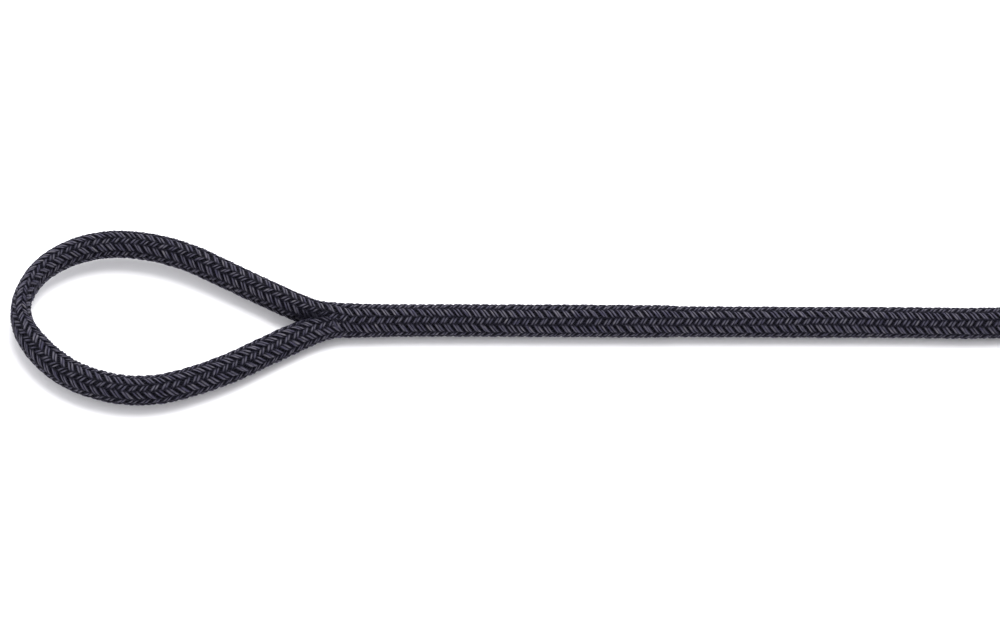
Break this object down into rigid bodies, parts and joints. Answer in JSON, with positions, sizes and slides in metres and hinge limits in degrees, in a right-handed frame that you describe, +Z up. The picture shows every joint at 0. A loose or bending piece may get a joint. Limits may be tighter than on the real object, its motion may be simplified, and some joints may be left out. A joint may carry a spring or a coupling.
{
  "type": "dock line",
  "caption": "Double-braid rope dock line with a spliced teardrop eye, a straight standing part and the rest of the rope put away in an oval hank held by a strap.",
  "frame": {"origin": "middle of the eye's opening, on the plane that the line lies on", "axes": "+X along the standing part away from the eye, +Z up from the surface the line lies on, +Y to the left of +X"},
  "size_m": [0.7241, 0.1045, 0.0631],
  "materials": {
    "navy_cover_braid": "matt braided nylon yarn, navy black",
    "core_braid": "dark braided nylon core",
    "strap_webbing": "black woven hook-and-loop webbing",
    "whipping_twine": "waxed navy twine",
    "melted_nylon": "heat-sealed nylon, satin"
  },
  "bodies": {
    "root": {"cover_eye": "navy_cover_braid", "core_eye": "core_braid", "throat_tuck": "navy_cover_braid", "cover_splice": "navy_cover_braid", "core_splice": "core_braid", "buried_tail": "core_braid", "cover_standing": "navy_cover_braid", "core_standing": "core_braid", "hank": "navy_cover_braid", "strap": "strap_webbing", "cover_bitter_end": "navy_cover_braid", "core_bitter_end": "core_braid", "whipping": "whipping_twine", "sealed_tip": "melted_nylon"}
  },
  "joints": []
}
